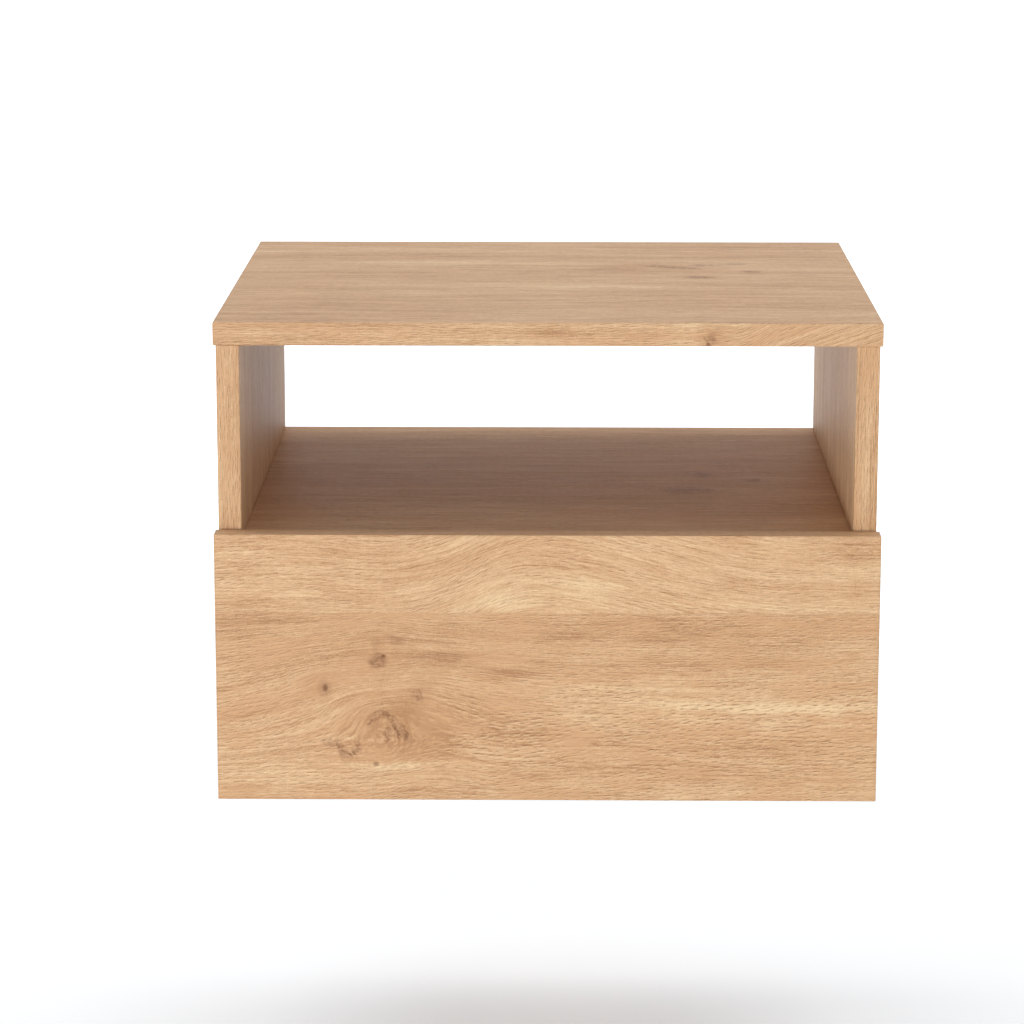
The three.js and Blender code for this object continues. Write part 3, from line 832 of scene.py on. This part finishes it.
def top_figure(grain):
    """What is special on the top and in its front band."""
    face = grain.face("z", 1)
    grain.blush = grain.blush - face * 0.45
    grain.tone = grain.tone - face * 0.08
    knot(grain, face, 94, 62, 24, 9, heart=0.75, ring=0.35, push=0.5, tilt=-0.4)
    knot(grain, face, 118, 72, 16, 6, heart=0.6)
    knot(grain, face, 140, 80, 12, 6, heart=0.5)
    knot(grain, face, 112, 11, 13, 7, heart=0.8, ring=0.3, push=0.4)
    knot(grain, face, 151, 40, 7, 7, heart=0.85, ring=0.3, push=0.4)
    shade(grain, face, 60, 66, 40, 16, -0.25)
    shade(grain, face, 0, -30, 110, 14, 0.3)
    shade(grain, face, -110, 84, 120, 10, 0.28)
    band = grain.face("y", -1)
    knot(grain, band, 112, -3, 5, 5, heart=0.6, ring=0.35, push=0.5)
    dot(grain, band, 110, -7, 1.4, 1.2, 0.8)
    shade(grain, band, 96, 0, 10, 12, 0.25)
    shade(grain, band, 0, 2, 22, 6, -0.2)
    # Painted shade: the left end of the top's front band is printed darker, to even out the front
    # lamp that stands on the left.
    shade(grain, band, -160, 0, 80, 30, -0.25)
    lean = step(grain.along, 120, 160)
    grain.bend(band * lean * (grain.along - 120) * 0.5)


oak("top_panel", "x", "y", 7.0, top_figure, TOP_SPECULAR)

# %% The shelf and the other boards
def shelf_figure(grain):
    """What is special on the shelf."""
    face = grain.face("z", 1)
    knot(grain, face, 103, -44, 20, 14, heart=0.55, ring=0.35, push=0.4)
    knot(grain, face, 116, 14, 9, 10, heart=0.5, ring=0.3, push=0.4)
    knot(grain, face, 153, -8, 8, 7, heart=0.5, ring=0.25, push=0.4)


def side_figure(outward):
    """What is special on a side. outward is 1 for the right one and -1 for the left one."""
    def figure(grain):
        # Painted light: both faces of a side are printed lighter, so that the inner faces in the
        # bay's shade come out brighter.
        grain.tone = grain.tone + grain.flat * 0.16
        outer = grain.face("x", outward)
        arch(grain, outer * bell(grain.across + 45 * outward, 55), 20, 46, 30, 80, 60)
        knot(grain, outer, 92, 70 * outward, 15, 9, heart=0.55, ring=0.35, push=0.6, tilt=0.2)
        knot(grain, outer, 104, 84 * outward, 6, 4, heart=0.5)
        knot(grain, outer, -88, -105 * outward, 8, 6, heart=0.6, ring=0.3, push=0.5)
        dot(grain, outer, -86, -104 * outward, 1.8, 1.5, 0.6)
        shade(grain, outer, -40, 120, 90, 26, -0.2)
        shade(grain, outer, 30, -150, 120, 22, 0.2)
    return figure


oak("shelf_panel", "x", "y", 12.0, shelf_figure)
oak("left_side_panel", "z", "y", 17.0, side_figure(-1))
oak("right_side_panel", "z", "y", 23.0, side_figure(1))
oak("bottom_panel", "x", "y", 29.0)
oak("back_panel", "x", "z", 37.0)

# %% [markdown]
# ## The drawer's boards
# Inside, such a drawer is plain: chipboard covered in matt off-white melamine, with a paper-thin
# band of the same white on its edges. A pressed melamine face isn't flat, it has the fine pearl
# of the plate it was pressed on, and along each edge runs the hair line where the band meets it.
# Where a fitting was drilled in, the chips show.

# %% Melamine
MELAMINE_TONES = [
    (0.0, colour(222, 218, 209)),
    (0.5, colour(229, 226, 218)),
    (1.0, colour(235, 232, 226)),
]
BAND_LINE = colour(176, 168, 154)
BAND_THICK = 0.5


def melamine(node):
    """Covers one board of the drawer with white melamine."""
    finish = Finish(bpy.data.materials.new("melamine_" + node))
    spot = Spot(finish, node)
    patches = spot.cloud((60, 60, 60), 2)
    pearl = spot.cloud((0.8, 0.8, 0.8), 2)
    tone = 0.5 + (patches - 0.5) * 0.8 + (pearl - 0.5) * 0.4
    white = finish.ramp(MELAMINE_TONES, tone)
    edge = spot.arris()
    line = step(abs(edge - BAND_THICK), 0.25, 0.08)
    white = mix(line * 0.5, white, BAND_LINE)
    under = spot.under()
    white = mix(under, white, chips(spot))
    bump = finish.relief(pearl, strength=0.35, depth=0.08)
    shine = 0.46 + (patches - 0.5) * 0.15 + under * 0.4
    surface = {"Base Color": white, "Roughness": shine, "Normal": bump, "Specular IOR Level": 0.45}
    finish.surface(surface)
    dress(node, finish)
    print("melamine on", node)


for node in ["drawer_left_side", "drawer_right_side", "drawer_back"]:
    melamine(node)

# %% [markdown]
# ## The drawer's floor
# The floor is 3 mm hardboard: brown wood fibre pressed on a wire mesh, which leaves its weave on
# the underside. The upper face is smooth and lacquered off-white, with a faint orange peel.
# The weave is two waves, one along each way, multiplied. The edge is bare fibre like the back.

# %% Hardboard
FIBRE_TONES = [
    (0.0, colour(98, 66, 42)),
    (0.5, colour(128, 90, 60)),
    (1.0, colour(156, 116, 82)),
]
LACQUER_TONES = [
    (0.0, colour(224, 221, 213)),
    (0.5, colour(231, 228, 221)),
    (1.0, colour(236, 234, 228)),
]
MESH_PITCH = 1.3


def hardboard(node):
    """Covers a thin floor: lacquered above, bare fibre with its weave below."""
    finish = Finish(bpy.data.materials.new("hardboard_" + node))
    spot = Spot(finish, node)
    top = spot.face("z", 1)
    patches = spot.cloud((45, 45, 45), 2)
    fibre = spot.cloud((3.0, 0.5, 0.5), 3, 1.5)
    peel = spot.cloud((1.6, 1.6, 1.6), 1)
    tone = 0.5 + (patches - 0.5) * 0.6 + (fibre - 0.5) * 1.2
    brown = finish.ramp(FIBRE_TONES, tone)
    tone = 0.5 + (patches - 0.5) * 0.9 + (peel - 0.5) * 0.3
    white = finish.ramp(LACQUER_TONES, tone)
    both = mix(top, brown, white)
    weave = wave(spot.place[0], MESH_PITCH) * wave(spot.place[1], MESH_PITCH)
    height = top * peel * 0.2 + (1 - top) * (weave + fibre * 0.4)
    bump = finish.relief(height, strength=0.5, depth=0.2)
    shine = 0.8 - top * 0.42 + (patches - 0.5) * 0.1
    surface = {"Base Color": both, "Roughness": shine, "Normal": bump}
    finish.surface(surface)
    dress(node, finish)
    print("hardboard on", node)


hardboard("drawer_floor")

# %% [markdown]
# ## The slides
# The members of a slide are rolled from steel strip that was zinc-plated before it was rolled.
# So they are bright but not polished: long streaks from the rolls run their whole length, the
# zinc lies in faint cloudy patches with a blue or a straw tinge, and the tracks where the balls
# run are rubbed brighter and carry a film of grease. Metal gets its colour from what it
# reflects, so the patches are put in the roughness too.

# %% Rolled steel
STEEL_TONES = [
    (0.0, colour(178, 181, 185)),
    (0.5, colour(192, 194, 196)),
    (1.0, colour(202, 201, 197)),
]


def rolled_steel():
    """The finish of the slides' members."""
    finish = Finish(bpy.data.materials.new("rolled_steel"))
    spot = Spot(finish)
    clouds = spot.cloud((14, 60, 14), 3, 0.6)
    streaks = spot.cloud((0.35, 90, 0.35), 2)
    spangle = split(spot.cells((5, 9, 5), "Color"))[0]
    tone = 0.5 + (clouds - 0.5) * 0.6 + (spangle - 0.5) * 0.25 + (streaks - 0.5) * 0.6
    grey = finish.ramp(STEEL_TONES, tone)
    track = spot.turned("z")
    shine = 0.36 + (clouds - 0.5) * 0.07 + (streaks - 0.5) * 0.12 - track * 0.08
    bump = finish.relief(streaks, strength=0.2, depth=0.03)
    greasy = track * step(spot.cloud((6, 18, 6), 2), 0.4, 0.7) * 0.5
    surface = {"Base Color": grey, "Metallic": 1.0, "Roughness": shine, "Normal": bump,
               "Coat Weight": greasy, "Coat Roughness": 0.25}
    finish.surface(surface)
    return finish


HANDS = ["left", "right"]
rolled = rolled_steel()
for hand in HANDS:
    for member in ["cabinet", "middle", "drawer"]:
        dress(f"{hand}_slide_{member}_member", rolled)
print("rolled steel on the six members of the slides")

# %% [markdown]
# ## The ball cages
# A cage is a thin stamped strip that keeps the balls apart. It is duller than the members, and
# the grease that the balls spread collects on it as an amber film, thicker in some places. The
# balls themselves are hard chrome steel. They are the only round things on the piece, so they
# are found by the way their surface is turned: only a ball is turned towards the slide's ends.

# %% Stamped steel, balls and grease
CAGE_TONES = [
    (0.0, colour(132, 136, 140)),
    (0.5, colour(156, 159, 162)),
    (1.0, colour(176, 177, 177)),
]
BALL_BRIGHT = colour(208, 210, 212)
GREASE = colour(172, 142, 92)


def greased_steel():
    """The finish of the ball cages, with their balls."""
    finish = Finish(bpy.data.materials.new("greased_steel"))
    spot = Spot(finish)
    clouds = spot.cloud((8, 26, 8), 3, 0.5)
    fine = spot.cloud((0.6, 2.5, 0.6), 2)
    tone = 0.5 + (clouds - 0.5) * 1.1 + (fine - 0.5) * 0.5
    grey = finish.ramp(CAGE_TONES, tone)
    ball = step(abs(spot.facing[1]), 0.08, 0.3)
    grey = mix(ball, grey, BALL_BRIGHT)
    film = step(spot.cloud((5, 12, 5), 3, 1.0), 0.44, 0.7)
    grey = mix(film * 0.4, grey, GREASE)
    shine = 0.4 + (fine - 0.5) * 0.2 - ball * 0.22
    bump = finish.relief(fine, strength=0.25, depth=0.04)
    surface = {"Base Color": grey, "Metallic": 1 - film * 0.3, "Roughness": shine, "Normal": bump,
               "Coat Weight": film * 0.8, "Coat Roughness": 0.2}
    finish.surface(surface)
    return finish


greased = greased_steel()
for hand in HANDS:
    for row in ["outer", "inner"]:
        dress(f"{hand}_slide_{row}_ball_cage", greased)
print("greased steel on the four ball cages")

# %% [markdown]
# ## The cams
# A cam is die-cast zinc and is left as it comes from the mould: a soft matt grey, mottled where
# the metal froze at different speeds, with a fine grain like cast skin. Die-cast zinc darkens as
# it meets the air, more in the hollows than on the rim, but this finish doesn't draw that.

# %% Cast zinc
CAST_TONES = [
    (0.0, colour(118, 121, 124)),
    (0.5, colour(150, 152, 154)),
    (1.0, colour(176, 177, 177)),
]


def cast_zinc():
    """The finish of the cams."""
    finish = Finish(bpy.data.materials.new("cast_zinc"))
    spot = Spot(finish)
    mottle = spot.cloud((3.5, 3.5, 3.5), 3, 1.2)
    grit = spot.cloud((0.35, 0.35, 0.35), 2)
    flow = spot.cloud((9, 9, 2.5), 2, 2.0)
    tone = 0.5 + (mottle - 0.5) * 1.1 + (grit - 0.5) * 0.6 + (flow - 0.5) * 0.5
    grey = finish.ramp(CAST_TONES, tone)
    shine = 0.46 + (mottle - 0.5) * 0.25 + (grit - 0.5) * 0.2
    bump = finish.relief(grit + flow * 0.5, strength=0.4, depth=0.06)
    surface = {"Base Color": grey, "Metallic": 0.9, "Roughness": shine, "Normal": bump}
    finish.surface(surface)
    return finish


ENDS = ["front", "rear"]
cast = cast_zinc()
corners_of_boards = [f"{board}_{hand}_{end}" for board in ["shelf", "bottom"]
                     for hand in HANDS for end in ENDS]
front_corners = [f"drawer_front_{hand}" for hand in HANDS]
for corner in corners_of_boards + front_corners:
    dress(corner + "_cam", cast)
print("cast zinc on", len(corners_of_boards + front_corners), "cams")

# %% [markdown]
# ## The bolts and the screws
# Both are turned or rolled, so their marks go round them: fine rings, and on the shank the ridges
# of the thread, drawn as waves along the axis in the relief because the model's shanks are plain.
# The cam bolts have the pale blue zinc of the slides. The screws are passivated yellow, which is
# no one colour: the film's thickness changes and with it the tint, from straw to green and rose.

# %% Turned zinc for the bolts, yellow zinc for the screws
BOLT_TONES = [
    (0.0, colour(160, 166, 174)),
    (0.5, colour(188, 191, 195)),
    (1.0, colour(206, 206, 202)),
]
SCREW_TONES = [
    (0.00, colour(172, 150, 92)),
    (0.35, colour(206, 180, 108)),
    (0.60, colour(196, 184, 122)),
    (0.80, colour(170, 178, 128)),
    (1.00, colour(206, 166, 128)),
]
THREAD_PITCH = 1.1


def threaded(name, axis, tones, roughness):
    """Plated steel that was turned or rolled round one axis."""
    finish = Finish(bpy.data.materials.new(name))
    spot = Spot(finish)
    tint = spot.cloud((2.2, 2.2, 2.2), 2, 1.0)
    marks = spot.cloud([0.15 if one == axis else 4 for one in AXES], 1)
    tone = 0.5 + (tint - 0.5) * 1.6 + (marks - 0.5) * 0.3
    plate = finish.ramp(tones, tone)
    shank = 1 - spot.turned(axis)
    ridge = wave(spot.place[AXES[axis]], THREAD_PITCH) * shank
    shine = roughness + (tint - 0.5) * 0.2 + (marks - 0.5) * 0.1
    bump = finish.relief(ridge + marks * 0.1, strength=0.8, depth=0.25)
    surface = {"Base Color": plate, "Metallic": 1.0, "Roughness": shine, "Normal": bump}
    finish.surface(surface)
    return finish


board_bolt = threaded("bolt_into_a_side", "x", BOLT_TONES, 0.28)
front_bolt = threaded("bolt_into_the_front", "y", BOLT_TONES, 0.28)
screw = threaded("yellow_screw", "x", SCREW_TONES, 0.32)
for corner in corners_of_boards:
    dress(corner + "_cam_bolt", board_bolt)
for corner in front_corners:
    dress(corner + "_cam_bolt", front_bolt)
for hand in HANDS:
    dress(f"drawer_back_screw_{hand}", screw)
    for member in ["cabinet", "drawer"]:
        for end in ENDS:
            dress(f"{hand}_slide_{member}_screw_{end}", screw)
print("zinc on", len(corners_of_boards + front_corners), "bolts, yellow zinc on 10 screws")

# %% [markdown]
# ## The dowels
# A dowel is raw beech with grooves pressed along it, so that the glue can rise past it. Beech is
# pale and pinkish, and what tells it from other wood is its flecks: short dark dashes, each a
# ray of the wood cut across. The ends show open pores instead.

# %% Beech
BEECH_TONES = [
    (0.0, colour(188, 148, 110)),
    (0.5, colour(212, 176, 138)),
    (1.0, colour(228, 198, 162)),
]
RAY_BROWN = colour(150, 104, 68)


def beech(name, axis):
    """The finish of dowels that point along one axis."""
    finish = Finish(bpy.data.materials.new(name))
    spot = Spot(finish)
    streaks = spot.cloud([30 if one == axis else 0.9 for one in AXES], 2)
    rays = spot.cells([2.6 if one == axis else 0.8 for one in AXES])
    end_pores = spot.cells((0.4, 0.4, 0.4))
    end = spot.turned(axis)
    tone = 0.5 + (streaks - 0.5) * 1.3
    wood = finish.ramp(BEECH_TONES, tone)
    ray = step(rays, 0.3, 0.12) * (1 - end)
    pore = step(end_pores, 0.35, 0.15) * end
    wood = mix(ray * 0.6 + pore * 0.5, wood, RAY_BROWN)
    shine = 0.78 + (streaks - 0.5) * 0.2
    bump = finish.relief(streaks - pore - ray * 0.3, strength=0.5, depth=0.08)
    surface = {"Base Color": wood, "Roughness": shine, "Normal": bump}
    finish.surface(surface)
    return finish


standing = beech("beech_standing", "z")
lying = beech("beech_lying", "x")
for hand in HANDS:
    for end in ENDS:
        dress(f"top_dowel_{hand}_{end}", standing)
    for row in ["upper", "lower"]:
        dress(f"back_dowel_{hand}_{row}", lying)
print("beech on the eight dowels")
